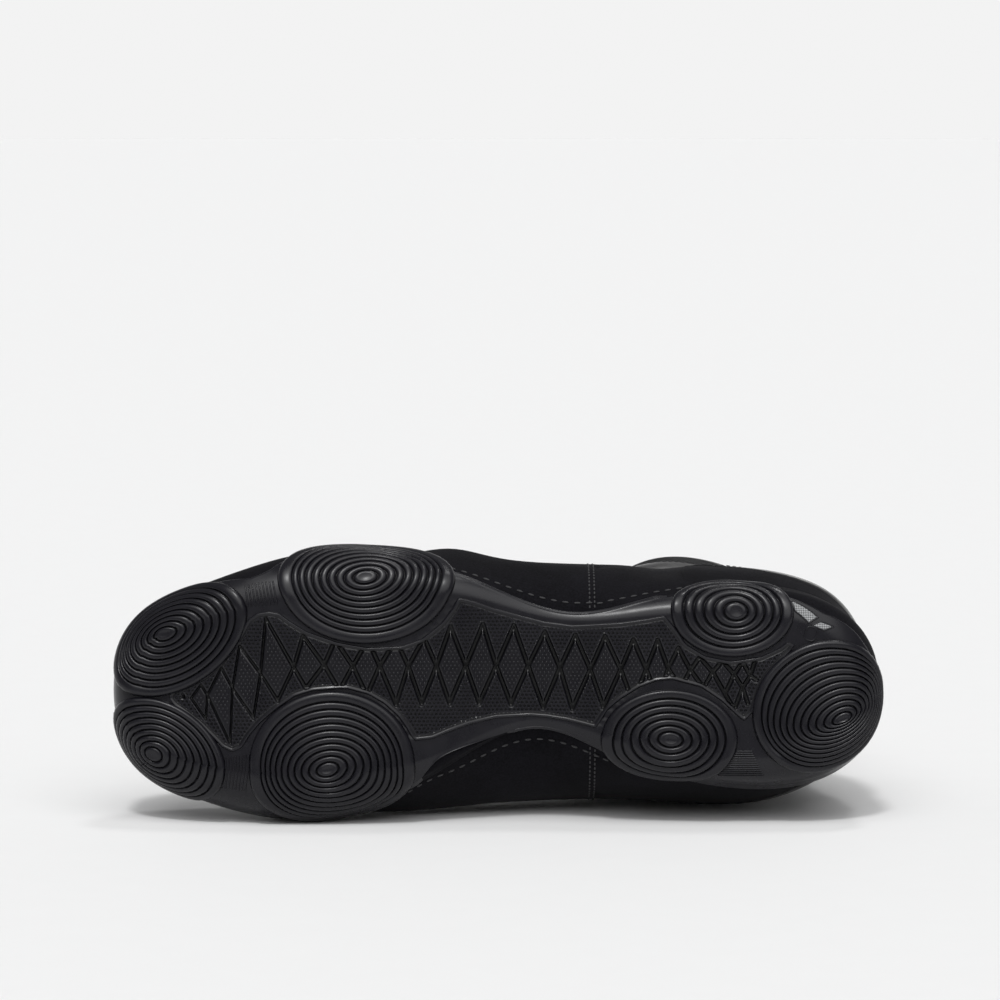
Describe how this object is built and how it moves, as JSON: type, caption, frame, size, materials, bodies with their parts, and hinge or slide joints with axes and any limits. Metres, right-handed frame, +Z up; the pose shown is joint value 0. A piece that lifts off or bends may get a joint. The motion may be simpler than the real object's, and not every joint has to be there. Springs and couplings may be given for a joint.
{
  "type": "combat sports shoe",
  "caption": "Left ankle-high combat sports shoe lying on its side: suede upper over a rubber cup sole with round ringed pods, laced over a tongue.",
  "frame": {"origin": "on the floor, under the middle of the bounding box of the lying shoe", "axes": "+X from toe to heel, -Y the way the sole faces, +Z up; the medial side is down and the lateral side up"},
  "size_m": [0.2858, 0.1602, 0.1019],
  "materials": {
    "rubber": "satin moulded",
    "suede": "short nap",
    "gloss_trim": "smooth coated",
    "tongue_fabric": "knit mesh",
    "lace_fabric": "flat woven",
    "insole_foam": "cloth on foam"
  },
  "bodies": {
    "root": {"outsole": "rubber", "upper": "suede", "heel_counter": "gloss_trim", "eyestay_lateral": "gloss_trim", "eyestay_medial": "gloss_trim", "tongue": "tongue_fabric", "laces": "lace_fabric", "insole": "insole_foam"}
  },
  "joints": []
}
